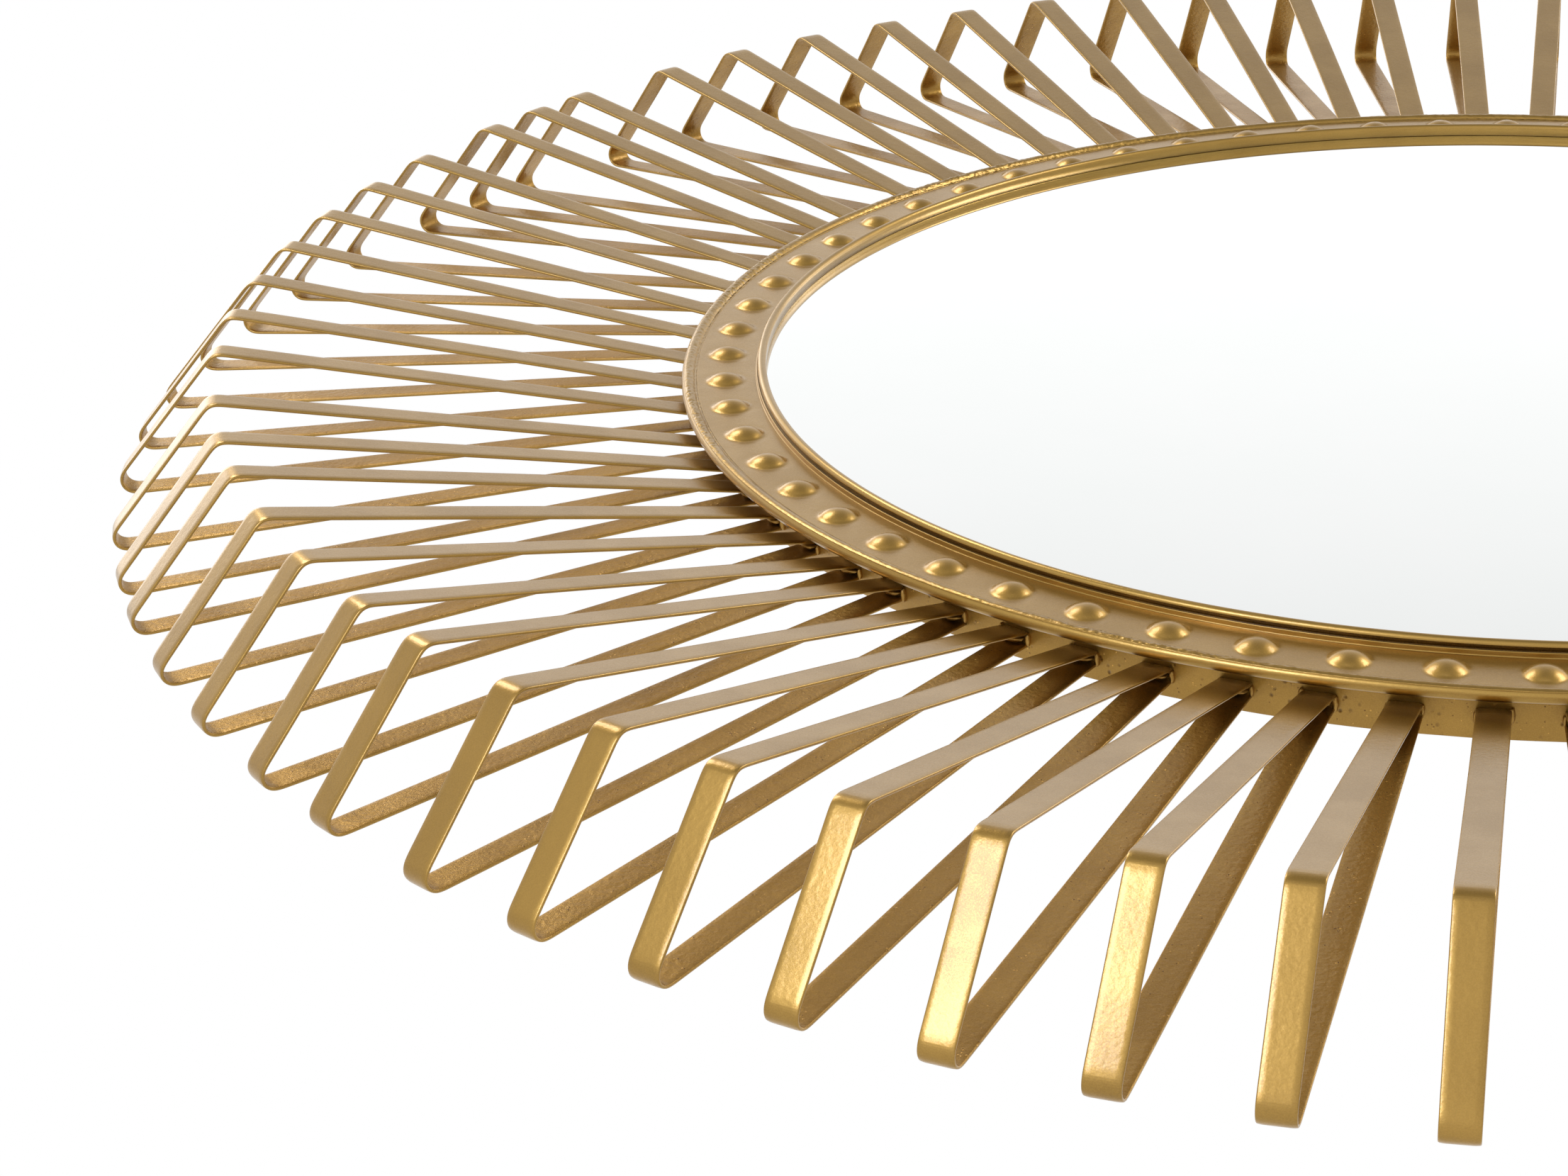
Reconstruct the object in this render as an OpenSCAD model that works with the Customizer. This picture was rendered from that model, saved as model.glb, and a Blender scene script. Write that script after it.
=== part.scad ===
// Sunburst wall mirror: a round mirror in a domed steel ring, with bent-strip rays around it.
// It is drawn as it hangs. Z is up, the glass faces -Y, and the wall is the plane Y = 0.
// The origin is on the mirror's axis, in the wall plane.
// Modules draw the mirror lying on its back, with z = 0 at the front of the glass. hung() hangs it up.

/* [Mirror] */
// Radius of the glass that can be seen
sight_r = 246.6; // [200:0.1:300]
// Thickness of the mirror glass
glass_t = 3; // [2:0.5:5]
// How far the glass runs under the lip
glass_lap = 2.2; // [1.8:0.1:2.6]
// Thickness of the backing board
board_t = 5; // [4:0.5:6]

/* [Face ring] */
// Width of the rounded lip around the glass
lip_w = 3.5; // [3.3:0.1:4]
// Height of the lip above the glass
lip_h = 4.3; // [3.5:0.1:5]
// Radial width of the flat ring, from the lip to the rim
ring_w = 20.2; // [18:0.1:24]
// Thickness of the ring's sheet steel
ring_t = 1.5; // [1:0.1:2]
// Number of pressed domes around the ring
dome_count = 64; // [24:1:72]
// Diameter of a dome where it meets the ring
dome_d = 12; // [8:0.5:13]
// Height of a dome above the ring
dome_h = 2.4; // [2:0.1:4.5]
// Diameter of the round rod that edges the ring
rim_d = 4.1; // [3.6:0.1:5]
// How far the rod stands in front of the ring
rim_rise = 1.25; // [0.8:0.05:1.6]

/* [Band] */
// Depth of the band's back edge behind the glass front
band_back = 17.8; // [16:0.1:21]
// Thickness of the band
band_t = 2; // [1.5:0.5:3]
// How far the band is set in from the outside of the rim
band_inset = 10.35; // [9:0.05:12]

/* [Rays] */
// Number of rays, an even number
ray_count = 72; // [36:2:84]
// Width of the strip that a ray is bent from
strip_w = 9.5; // [6:0.5:12]
// Thickness of the strip
strip_t = 1.2; // [1:0.1:2]
// Radius at which the front crease of a ray lies
crease_r = 423.6; // [360:0.1:440]
// Height of the front crease in front of the glass
crease_z = 20.8; // [10:0.1:40]
// Outside radius of the front bend
crease_bend = 4.3; // [3:0.1:8]
// Radius to the outside of the whole sunburst
tip_r = 457.4; // [450:0.1:500]
// Outside radius of the back bend
tip_bend = 4.6; // [3:0.1:8]
// Depth of the wall plane behind the glass front
wall_depth = 26; // [22:0.5:32]
// Depth of the front arm's outside where it meets the band
arm_front = 8.7; // [8:0.1:9.5]
// Depth of the back arm's outside where it meets the band
arm_back = 13.4; // [13:0.1:15.5]
// Rays welded off their pitch: ray number, and degrees clockwise
off_pitch = [[9, 0.5], [14, -1], [15, -1.3], [23, 1.2], [25, -1.5]];

/* [Back hardware] */
// Number of retaining tabs inside the band
tab_count = 8; // [4:2:12]
// Half the distance between the two hangers
hanger_x = 130; // [90:5:160]
// Height of the hanger rings' pins above the centre
hanger_z = 150; // [110:5:170]
// Radius of a hanger ring's bow, to the wire's centre
hanger_bow = 12; // [10:0.5:14]
// Diameter of a hanger ring's wire
hanger_wire = 3; // [2.5:0.5:4]

/* [Hidden] */
$fn = 96;
eps = 0.02;
pair_count = ray_count / 2;

gold = "#b9a078";
bare_steel = "#b8bcc2";
glass_r = sight_r + glass_lap;
ring_in = sight_r + glass_lap + 0.3;
ring_out = sight_r + lip_w + ring_w;
rim_r = ring_out + rim_d / 2 + 0.05;
rim_z = rim_rise - rim_d / 2;
outer_r = rim_r + rim_d / 2;
band_out = outer_r - band_inset;
band_in = band_out - band_t;
dome_pitch_r = sight_r + lip_w + ring_w / 2 + 0.05;
dome_sphere = (dome_d * dome_d / 4 + dome_h * dome_h) / (2 * dome_h);
dome_first = 92.8;

board_front = -glass_t - 0.2;
board_back = board_front - board_t;
board_r = band_in - 3;
tab_t = 1.2;
tab_back = board_back - tab_t - 0.05;
tab_reach = 17;
tab_hole_r = band_in - 12;
screw_r = 1.5;
strap_t = 1.2;
strap_w = 12;
strap_front = board_back - 0.05;
pin_clear = 0.1;
loop_in = hanger_wire / 2 + pin_clear;
loop_out = loop_in + strap_t;
pin_z = strap_front - loop_out;
strap_len = 34;
strap_screws = [18, 28];

// A ray's outline in its own plane: x is the radius, y is the height in front of the glass.
arm_in = band_out + 0.1;
arm_slope = atan((crease_z + arm_front) / (crease_r - band_out));
tip_c = [tip_r - tip_bend, tip_bend - wall_depth];
to_tip = tip_c - [crease_r, crease_z];
leg_angle = atan2(to_tip[1], to_tip[0]) + asin(tip_bend / norm(to_tip));
crease_turn = arm_slope - leg_angle;
crease_cut = crease_bend * tan(crease_turn / 2);
to_root = [band_out, -arm_back] - tip_c;
back_angle = atan2(to_root[1], to_root[0]) - asin(tip_bend / norm(to_root));
back_len = sqrt(norm(to_root) ^ 2 - tip_bend ^ 2) - 0.1;
tip_turn = 360 + leg_angle - back_angle;
crease_c = along(along([crease_r, crease_z], arm_slope, -crease_cut), arm_slope - 90, crease_bend);
front_root = along([crease_r, crease_z], arm_slope, -(crease_r - arm_in) / cos(arm_slope));
back_root = along(along(tip_c, back_angle + 90, tip_bend), back_angle, back_len);

function two(n) = n < 10 ? str("0", n) : str(n);
function pair_name(p) = str("rays_", two(2 * p - 1), "_", two(2 * p));
function drift(i) = let (hit = [for (o = off_pitch) if (o[0] == i) o[1]]) len(hit) > 0 ? hit[0] : 0;
function ray_azimuth(i) = -90 - (i - 1) * 360 / ray_count - drift(i);
function along(p, angle, d) = p + d * [cos(angle), sin(angle)];

module hung() {
    translate([0, -wall_depth, 0])
        rotate([90, 0, 0])
            children();
}

module disc(r, z0, z1) {
    translate([0, 0, z0])
        cylinder(r = r, h = z1 - z0);
}

// The points of an arc that turns clockwise.
function bend(c, r, from, turn, steps) = [for (k = [0:steps]) along(c, from - turn * k / steps, r)];
// One side of the bent strip, as points from the front arm round to the back arm.
function strip_side(r_less) = concat(
    [along(front_root, arm_slope - 90, r_less)],
    bend(crease_c, crease_bend - r_less, arm_slope + 90, crease_turn, 8),
    bend(tip_c, tip_bend - r_less, leg_angle + 90, tip_turn, 16),
    [along(back_root, back_angle - 90, r_less)]
);
function reversed(v) = [for (k = [len(v) - 1:-1:0]) v[k]];

module ray() {
    translate([0, strip_w / 2, 0])
        rotate([90, 0, 0])
            linear_extrude(strip_w)
                polygon(concat(strip_side(0), reversed(strip_side(strip_t))));
}

module ray_pair(p) {
    color(gold)
        hung()
            for (i = [2 * p - 1, 2 * p])
                rotate([0, 0, ray_azimuth(i)])
                    ray();
}

// Weld metal in the notch between a ray's two arms and the band.
module ray_welds() {
    out = 7;
    front = [-arm_front - strip_t / cos(arm_slope) - 0.1, tan(arm_slope)];
    back = [-arm_back + strip_t / cos(180 - back_angle) + 0.1, tan(back_angle)];
    color(gold)
        hung()
            for (i = [1:ray_count])
                rotate([0, 0, ray_azimuth(i)])
                    translate([band_out + 0.05, strip_w * 0.4, 0])
                        rotate([90, 0, 0])
                            linear_extrude(strip_w * 0.8)
                                polygon([
                                    [0, back[0]],
                                    [out, back[0] + out * back[1]],
                                    [out * 0.6, (back[0] + front[0]) / 2],
                                    [out, front[0] + out * front[1]],
                                    [0, front[0]]
                                ]);
}

module mirror_glass() {
    color("#eef1f2")
        hung()
            disc(glass_r, -glass_t, 0);
}

module screw_holes(points, r) {
    for (p = points)
        translate([p[0], p[1], board_back - 1])
            cylinder(r = r, h = board_t);
}

function tab_points() = [for (i = [0:tab_count - 1]) let (a = (i + 0.5) * 360 / tab_count)
    [tab_hole_r * cos(a), tab_hole_r * sin(a)]];
function strap_points() = [for (s = [-1, 1], d = strap_screws) [s * hanger_x, hanger_z - d]];

module backing_board() {
    color("#8a6a48")
        hung()
            difference() {
                disc(board_r, board_back, board_front);
                screw_holes(concat(tab_points(), strap_points()), screw_r + 0.05);
            }
}

module dome_row(r, z_low) {
    for (i = [0:dome_count - 1])
        rotate([0, 0, -dome_first - i * 360 / dome_count])
            translate([dome_pitch_r, 0, 0])
                rotate_extrude()
                    intersection() {
                        translate([0, dome_h - dome_sphere])
                            circle(r = r);
                        translate([0, z_low])
                            square([dome_d, dome_d]);
                    }
}

module face_ring() {
    color(gold)
        hung()
            difference() {
                union() {
                    difference() {
                        disc(ring_out - 0.1, -ring_t, 0);
                        disc(ring_in, -ring_t - 1, 1);
                    }
                    dome_row(dome_sphere, -ring_t);
                }
                dome_row(dome_sphere - ring_t * 0.85, -ring_t - 0.5);
            }
}

// A wire on a low wall. The wall stands a little outside the wire, which leaves a groove under it.
module lip_hoop() {
    wire = lip_w * 0.43;
    step = lip_h * 0.4;
    color(gold)
        hung()
            rotate_extrude()
                translate([sight_r, 0])
                    polygon(concat(
                        [[lip_w, eps], [0.1, eps]],
                        bend([0.1 + wire, lip_h - wire], wire, 180, 215, 18),
                        [[lip_w - 0.2, step], [lip_w, step - 0.2]]
                    ));
}

module rim_hoop() {
    color(gold)
        hung()
            translate([0, 0, rim_z])
                rotate_extrude()
                    translate([rim_r, 0])
                        circle(r = rim_d / 2);
}

// The ground weld that runs from the ring up over the rod.
module rim_weld_seam() {
    groove = rim_d / 2 + 0.03;
    low = 180 - asin((eps - rim_z) / groove);
    color(gold)
        hung()
            rotate_extrude()
                polygon(concat(
                    [[ring_out - 0.7, eps], [ring_out - 0.7, 0.1]],
                    bend([rim_r, rim_z], groove + 0.25, 152, 104, 10),
                    reversed(bend([rim_r, rim_z], groove, low, low - 48, 12))
                ));
}

module hub_band() {
    color(gold)
        hung()
            difference() {
                disc(band_out, -band_back, -ring_t - eps);
                disc(band_in, -band_back - 1, 1);
            }
}

// Steel tabs welded inside the band and bent over the board.
module retaining_tabs() {
    width = 14;
    color(gold)
        hung()
            for (i = [0:tab_count - 1])
                rotate([0, 0, (i + 0.5) * 360 / tab_count])
                    difference() {
                        union() {
                            translate([band_in - tab_reach, -width / 2, tab_back])
                                cube([tab_reach - 0.4, width, tab_t]);
                            translate([band_in - 0.4 - tab_t, -width / 2, tab_back - 5])
                                cube([tab_t, width, 5 + tab_t]);
                        }
                        translate([tab_hole_r, 0, tab_back - 1])
                            cylinder(r = screw_r + 0.4, h = tab_t + 2);
                    }
}

module wood_screw(head_z, grip) {
    translate([0, 0, head_z - 1.6])
        cylinder(r1 = 2.4, r2 = 3.2, h = 1.6);
    translate([0, 0, head_z - 0.5])
        cylinder(r = screw_r, h = grip + 0.5);
}

module tab_screws() {
    color(bare_steel)
        hung()
            for (p = tab_points())
                translate([p[0], p[1], 0])
                    wood_screw(tab_back - eps, tab_t + 3.2);
}

module hanger_screws() {
    color(bare_steel)
        hung()
            for (p = strap_points())
                translate([p[0], p[1], 0])
                    wood_screw(strap_front - strap_t - eps, strap_t + 3.2);
}

// A steel strap curled around the ring's pin at its upper end.
module hanger_strap(x) {
    color(bare_steel)
        hung()
            translate([x, hanger_z, 0])
                difference() {
                    union() {
                        translate([-strap_w / 2, 0, pin_z])
                            rotate([0, 90, 0])
                                cylinder(r = loop_out, h = strap_w);
                        translate([-strap_w / 2, -strap_len + strap_w / 2, strap_front - strap_t])
                            cube([strap_w, strap_len - strap_w / 2, strap_t]);
                        translate([0, -strap_len + strap_w / 2, strap_front - strap_t])
                            cylinder(r = strap_w / 2, h = strap_t);
                    }
                    translate([-strap_w, 0, pin_z])
                        rotate([0, 90, 0])
                            cylinder(r = loop_in, h = strap_w * 2);
                    for (d = strap_screws)
                        translate([0, -d, strap_front - strap_t - 1])
                            cylinder(r = screw_r + 0.4, h = strap_t + 2);
                }
}

module left_hanger_strap() {
    hanger_strap(-hanger_x);
}

module right_hanger_strap() {
    hanger_strap(hanger_x);
}

// A wire D that swings on its straight side.
module hanger_ring(x) {
    color(bare_steel)
        hung()
            translate([x, hanger_z, pin_z]) {
                rotate_extrude(angle = 180)
                    translate([hanger_bow, 0])
                        circle(r = hanger_wire / 2);
                translate([-hanger_bow, 0, 0])
                    rotate([0, 90, 0])
                        cylinder(r = hanger_wire / 2, h = hanger_bow * 2);
                for (s = [-1, 1])
                    translate([s * hanger_bow, 0, 0])
                        sphere(r = hanger_wire / 2 + 0.08);
            }
}

module left_hanger_ring() {
    hanger_ring(-hanger_x);
}

module right_hanger_ring() {
    hanger_ring(hanger_x);
}

mirror_glass();
backing_board();
face_ring();
lip_hoop();
rim_hoop();
rim_weld_seam();
hub_band();
retaining_tabs();
tab_screws();
left_hanger_strap();
right_hanger_strap();
left_hanger_ring();
right_hanger_ring();
hanger_screws();
ray_welds();
for (p = [1:pair_count]) ray_pair(p);
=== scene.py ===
"""The looks of a sunburst wall mirror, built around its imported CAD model.

The mirror hangs: Z is up, the glass faces -Y, and the wall would be the plane Y = 0.
Most shapes are drawn as points of radius and depth. Depth is Y, so a smaller depth is nearer the room.
"""

import math

import bmesh
import bpy
import numpy as np
from mathutils import Matrix, Vector, noise


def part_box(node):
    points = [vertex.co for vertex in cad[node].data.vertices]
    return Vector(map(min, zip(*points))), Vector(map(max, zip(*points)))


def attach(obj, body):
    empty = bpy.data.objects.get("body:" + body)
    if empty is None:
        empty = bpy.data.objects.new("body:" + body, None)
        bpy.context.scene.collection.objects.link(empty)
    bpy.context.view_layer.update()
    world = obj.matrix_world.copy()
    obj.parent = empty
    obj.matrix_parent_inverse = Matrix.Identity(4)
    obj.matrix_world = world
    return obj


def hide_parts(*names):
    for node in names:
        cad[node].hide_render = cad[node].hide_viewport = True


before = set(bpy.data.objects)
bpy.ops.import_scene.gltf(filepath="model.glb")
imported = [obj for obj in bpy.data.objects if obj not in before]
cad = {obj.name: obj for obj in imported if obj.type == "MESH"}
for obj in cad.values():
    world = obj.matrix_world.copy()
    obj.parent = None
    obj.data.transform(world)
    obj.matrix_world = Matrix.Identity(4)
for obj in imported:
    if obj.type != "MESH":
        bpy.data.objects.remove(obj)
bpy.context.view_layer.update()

MM = 0.001
BODY = "mirror_body"
GOLD, GLASS, BOARD, ZINC = "satin_gold", "mirror_glass", "hardboard", "zinc_steel"
draws = np.random.RandomState(72)


# ---------------------------------------------------------------- the camera

# These were solved from the circles, domes and rays in the photo, as seen from the middle of the glass.
FOCAL = 83.64
SENSOR = 36
CAMERA_DISTANCE = 1.21508
CAMERA_RISE = math.radians(19.168)
CAMERA_TURN = math.radians(0.611)
CAMERA_PAN = math.radians(11.300)
CAMERA_TILT = math.radians(4.190)
CAMERA_ROLL = math.radians(-1.942)


def make_camera():
    """It stands low in front of the mirror and looks steeply up across the glass."""
    glass_front = Vector((0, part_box("mirror_glass")[0].y, 0))
    on_glass = Matrix.Rotation(math.radians(90), 3, "X") @ Matrix.Rotation(CAMERA_TURN, 3, "Z")
    place = Vector((0, -math.cos(CAMERA_RISE), math.sin(CAMERA_RISE))) * CAMERA_DISTANCE
    aim = Matrix.Rotation(math.radians(90) - CAMERA_RISE, 3, "X")
    aim = aim @ Matrix.Rotation(CAMERA_PAN, 3, "Y")
    aim = aim @ Matrix.Rotation(-CAMERA_TILT, 3, "X")
    aim = aim @ Matrix.Rotation(-CAMERA_ROLL, 3, "Z")
    data = bpy.data.cameras.new("camera")
    data.lens = FOCAL
    data.sensor_width = SENSOR
    data.clip_start = 0.01
    camera = bpy.data.objects.new("camera", data)
    bpy.context.scene.collection.objects.link(camera)
    camera.matrix_world = Matrix.Translation(glass_front + on_glass @ place) @ (on_glass @ aim).to_4x4()
    bpy.context.scene.camera = camera


# ---------------------------------------------------------------- node helpers

def add(tree, kind, values=(), **settings):
    """A shader node. values holds its sockets: a number, a colour, or the socket that feeds it."""
    made = tree.nodes.new("ShaderNode" + kind)
    for name, value in settings.items():
        setattr(made, name, value)
    for name, value in dict(values).items():
        if isinstance(value, bpy.types.NodeSocket):
            tree.links.new(value, made.inputs[name])
        else:
            made.inputs[name].default_value = value
    return made


def mixed(tree, factor, first, second):
    """A colour between two others, each a colour or a socket."""
    made = tree.nodes.new("ShaderNodeMix")
    made.data_type = "RGBA"
    for index, value in ((0, factor), (6, first), (7, second)):
        if isinstance(value, bpy.types.NodeSocket):
            tree.links.new(value, made.inputs[index])
        else:
            made.inputs[index].default_value = value
    return made.outputs[2]


def ranged(tree, value, low, high, to_low=0.0, to_high=1.0):
    """value, moved from the range low to high to the range to_low to to_high, and held there."""
    sockets = {"Value": value, "From Min": low, "From Max": high, "To Min": to_low, "To Max": to_high}
    return add(tree, "MapRange", sockets).outputs[0]


def maths(tree, operation, first, second=0.0):
    """A sum on one or two values, each a number or a socket."""
    made = tree.nodes.new("ShaderNodeMath")
    made.operation = operation
    for index, value in enumerate((first, second)):
        if isinstance(value, bpy.types.NodeSocket):
            tree.links.new(value, made.inputs[index])
        else:
            made.inputs[index].default_value = value
    return made.outputs[0]


def new_material(name):
    """A material, its node tree, its shader and the coordinates of the piece that it is on."""
    material = bpy.data.materials.new(name)
    material.use_nodes = True
    tree = material.node_tree
    tree.nodes.clear()
    shader = add(tree, "BsdfPrincipled")
    add(tree, "OutputMaterial", {"Surface": shader.outputs[0]})
    place = add(tree, "TexCoord").outputs["Object"]
    return material, tree, shader, place


def feed(tree, shader, name, value):
    """Connects a value to one of the shader's sockets."""
    tree.links.new(value, shader.inputs[name])


def noise_at(tree, place, scale, detail=2.0, rough=0.5):
    """Noise from 0 to 1, with a number of waves to the metre."""
    sockets = {"Vector": place, "Scale": scale, "Detail": detail, "Roughness": rough}
    return add(tree, "TexNoise", sockets).outputs[0]


def spots_at(tree, place, scale):
    """Scattered points, with a number of them to the metre: the node that knows the nearest one."""
    return add(tree, "TexVoronoi", {"Vector": place, "Scale": scale, "Randomness": 1.0})


def bumped(tree, height, depth, under=None, strength=1.0):
    """A normal from a height of a given depth in metres, on top of another normal."""
    sockets = {"Height": height, "Distance": depth, "Strength": strength}
    if under is not None:
        sockets["Normal"] = under
    return add(tree, "Bump", sockets).outputs[0]


# ---------------------------------------------------------------- materials

CLOUD_WAVES, FLAKE_WAVES, PEEL_WAVES = 38, 2600, 620
SPECK_WAVES, SPECK_DEPTH = 1100.0, 0.00008
PIT_WAVES = 330.0


def tinted(colour, red, green, blue):
    """A colour with each part made stronger or weaker."""
    parts = [min(1, part * by) for part, by in zip(colour, (red, green, blue))]
    return (*parts, 1)


def gold_paint(name, light, deep, rough, coat, peel_depth, speck_share=0.0, pit_depth=0.0):
    """Metallic gold paint: satin flakes under a thin clear coat, with orange peel, stray specks, and pits darkened
    with painted shade.
    """
    material, tree, shader, place = new_material(name)
    cloud = ranged(tree, noise_at(tree, place, CLOUD_WAVES, 3, 0.6), 0.35, 0.65)
    flake = noise_at(tree, place, FLAKE_WAVES, 2, 0.6)
    tone = maths(tree, "ADD", maths(tree, "MULTIPLY", cloud, 0.5), ranged(tree, flake, 0.32, 0.68, 0.0, 0.5))
    colour = mixed(tree, tone, deep, light)
    peel = noise_at(tree, place, PEEL_WAVES, 2, 0.5)
    height = bumped(tree, peel, peel_depth)
    if speck_share:
        speck = spots_at(tree, place, SPECK_WAVES)
        chance = noise_at(tree, place, SPECK_WAVES * 0.3, 1)
        near_point = ranged(tree, speck.outputs["Distance"], 0.34, 0.16)
        chosen = ranged(tree, chance, 0.66 - speck_share, 0.70 - speck_share)
        is_speck = maths(tree, "MULTIPLY", near_point, chosen)
        hue = add(tree, "SeparateColor", {"Color": speck.outputs["Color"]}).outputs[0]
        dirt, bright = tinted(deep, 0.5, 0.42, 0.4), tinted(light, 1.5, 1.5, 1.6)
        speck_colour = mixed(tree, ranged(tree, hue, 0.55, 0.6), dirt, bright)
        colour = mixed(tree, is_speck, colour, speck_colour)
        height = bumped(tree, is_speck, SPECK_DEPTH, height, 0.6)
    if pit_depth:
        pit = spots_at(tree, place, PIT_WAVES).outputs["Distance"]
        some = ranged(tree, noise_at(tree, place, 120, 1), 0.52, 0.60)
        deep_pit = maths(tree, "MULTIPLY", ranged(tree, pit, 0.26, 0.08), some)
        # the darker colour in each pit is painted shade
        colour = mixed(tree, deep_pit, colour, tinted(deep, 0.45, 0.4, 0.4))
        height = bumped(tree, maths(tree, "SUBTRACT", 1.0, deep_pit), pit_depth, height, 0.7)
    feed(tree, shader, "Base Color", colour)
    feed(tree, shader, "Roughness", ranged(tree, tone, 0.2, 0.8, rough + 0.05, rough - 0.05))
    feed(tree, shader, "Normal", height)
    feed(tree, shader, "Coat Normal", height)
    shader.inputs["Metallic"].default_value = 1.0
    shader.inputs["Coat Weight"].default_value = coat
    shader.inputs["Coat Roughness"].default_value = 0.2
    shader.inputs["Coat IOR"].default_value = 1.5
    return material


def silvered_glass():
    """The mirror's face: silver under float glass, with a trace of dust that softens the reflection."""
    material, tree, shader, place = new_material("silvered_glass")
    wipe = noise_at(tree, place, 9, 4, 0.65)
    colour = mixed(tree, ranged(tree, wipe, 0.3, 0.7), (0.93, 0.95, 0.94, 1), (0.95, 0.96, 0.955, 1))
    feed(tree, shader, "Base Color", colour)
    feed(tree, shader, "Roughness", ranged(tree, wipe, 0.4, 0.8, 0.004, 0.02))
    shader.inputs["Metallic"].default_value = 1.0
    return material


def glass_edge():
    """The ground edge of float glass, which looks green."""
    material, tree, shader, place = new_material("glass_edge")
    grind = noise_at(tree, place, 700, 3)
    feed(tree, shader, "Base Color", mixed(tree, grind, (0.10, 0.28, 0.22, 1), (0.28, 0.46, 0.38, 1)))
    feed(tree, shader, "Roughness", ranged(tree, grind, 0.2, 0.8, 0.25, 0.5))
    return material


def fibreboard():
    """Brown hardboard: pressed fibres, a sanded face and darker specks of bark."""
    material, tree, shader, place = new_material("fibreboard")
    cloud = noise_at(tree, place, 14, 4, 0.6)
    pressed = add(tree, "Mapping", {"Vector": place, "Scale": (1, 1, 3.4)}).outputs[0]
    fibre = noise_at(tree, pressed, 520, 4, 0.7)
    tone = maths(tree, "ADD", maths(tree, "MULTIPLY", cloud, 0.45), maths(tree, "MULTIPLY", fibre, 0.55))
    colour = mixed(tree, ranged(tree, tone, 0.35, 0.65), (0.16, 0.085, 0.04, 1), (0.36, 0.22, 0.12, 1))
    bark = ranged(tree, noise_at(tree, place, 900, 2, 0.6), 0.64, 0.72)
    feed(tree, shader, "Base Color", mixed(tree, bark, colour, (0.06, 0.03, 0.015, 1)))
    feed(tree, shader, "Roughness", ranged(tree, fibre, 0.3, 0.7, 0.55, 0.82))
    feed(tree, shader, "Normal", bumped(tree, fibre, 0.0002, None, 0.7))
    return material


def zinc_plate():
    """Bright zinc plate: cool grey, faintly cloudy, with short scratches."""
    material, tree, shader, place = new_material("zinc_plate")
    cloud = noise_at(tree, place, 260, 3, 0.6)
    colour = mixed(tree, ranged(tree, cloud, 0.35, 0.65), (0.50, 0.51, 0.53, 1), (0.72, 0.71, 0.66, 1))
    feed(tree, shader, "Base Color", colour)
    stretched = add(tree, "Mapping", {"Vector": place, "Scale": (6, 6, 0.6)}).outputs[0]
    scratch = noise_at(tree, stretched, 900, 2, 0.5)
    feed(tree, shader, "Roughness", ranged(tree, maths(tree, "ADD", cloud, scratch), 0.7, 1.3, 0.24, 0.42))
    shader.inputs["Metallic"].default_value = 1.0
    feed(tree, shader, "Normal", bumped(tree, scratch, 0.00002, None, 0.5))
    return material


# ---------------------------------------------------------------- mesh helpers

def ripple(points, scale, seed=0.0):
    """Smooth noise at each point, from about -1 to 1, with a given number of waves to the metre."""
    shift = Vector((seed, seed * 1.7, seed * 0.3))
    return np.array([noise.noise(Vector(p) * scale + shift) for p in points])


def make_piece(name, points, faces, materials, slot, body=BODY, stands_for=(), smooth=True):
    """A shown piece from points and faces. It rides on a body and may stand for CAD nodes."""
    mesh = bpy.data.meshes.new(name)
    mesh.from_pydata([tuple(p) for p in points], [], [tuple(f) for f in faces])
    kit = bmesh.new()
    kit.from_mesh(mesh)
    bmesh.ops.recalc_face_normals(kit, faces=kit.faces)
    kit.to_mesh(mesh)
    kit.free()
    mesh.polygons.foreach_set("use_smooth", [smooth] * len(mesh.polygons))
    for material in materials:
        mesh.materials.append(material)
    piece = bpy.data.objects.new(name, mesh)
    bpy.context.scene.collection.objects.link(piece)
    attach(piece, body)
    if stands_for:
        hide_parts(*stands_for)
    return piece


def flat_shading(piece):
    """Keeps the broad faces flat to the eye up to their rounded edges."""
    piece.modifiers.new("flat_shading", "WEIGHTED_NORMAL").keep_sharp = True


def grid_faces(rows, columns, closed_rows=False, closed_columns=False):
    """Quads of a grid whose points run column by column within each row."""
    faces = []
    for i in range(rows if closed_rows else rows - 1):
        for j in range(columns if closed_columns else columns - 1):
            here, after = i * columns, (i + 1) % rows * columns
            beside = (j + 1) % columns
            faces.append([here + j, after + j, after + beside, here + beside])
    return faces


def hoop_points(profile, count):
    """A profile of radius and depth, swept round the mirror's axis."""
    turn = np.arange(count) * 2 * math.pi / count
    profile = np.array(profile)
    radius, depth = profile[:, 0], profile[:, 1]
    x = np.outer(np.cos(turn), radius)
    z = np.outer(np.sin(turn), radius)
    y = np.outer(np.ones(count), depth)
    return np.stack([x, y, z], -1).reshape(-1, 3)


def arc(centre, radius, start, end, steps):
    """Points on an arc in a plane, with angles in degrees."""
    turn = np.radians(np.linspace(start, end, steps + 1))
    return [(centre[0] + radius * math.cos(a), centre[1] + radius * math.sin(a)) for a in turn]


ROLLED = 1.9 * MM   # how far from its sides a rolled bar begins to thin
ROLLED_SLOPE = 0.13 / 1.5


def bar_outline(half_width, half_height, edge):
    """The outline of a flat bar. Its edges are rounded, and its faces dip a little on the way to them."""
    arris = half_width - edge
    flat = max(half_width - ROLLED, half_width * 0.3)
    drop = ROLLED_SLOPE * (arris - flat)
    outline = []
    for sx, sy, start in ((1, 1, 0), (-1, 1, 90), (-1, -1, 180), (1, -1, 270)):
        corner = arc((sx * arris, sy * (half_height - drop - edge)), edge, start, start + 90, 3)
        share = np.linspace(1, 0, 5)[1:]
        face = [(sx * (flat + (arris - flat) * t), sy * (half_height - drop * t * t)) for t in share]
        outline += corner + face if sx * sy > 0 else face[::-1] + corner
    return outline


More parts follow.
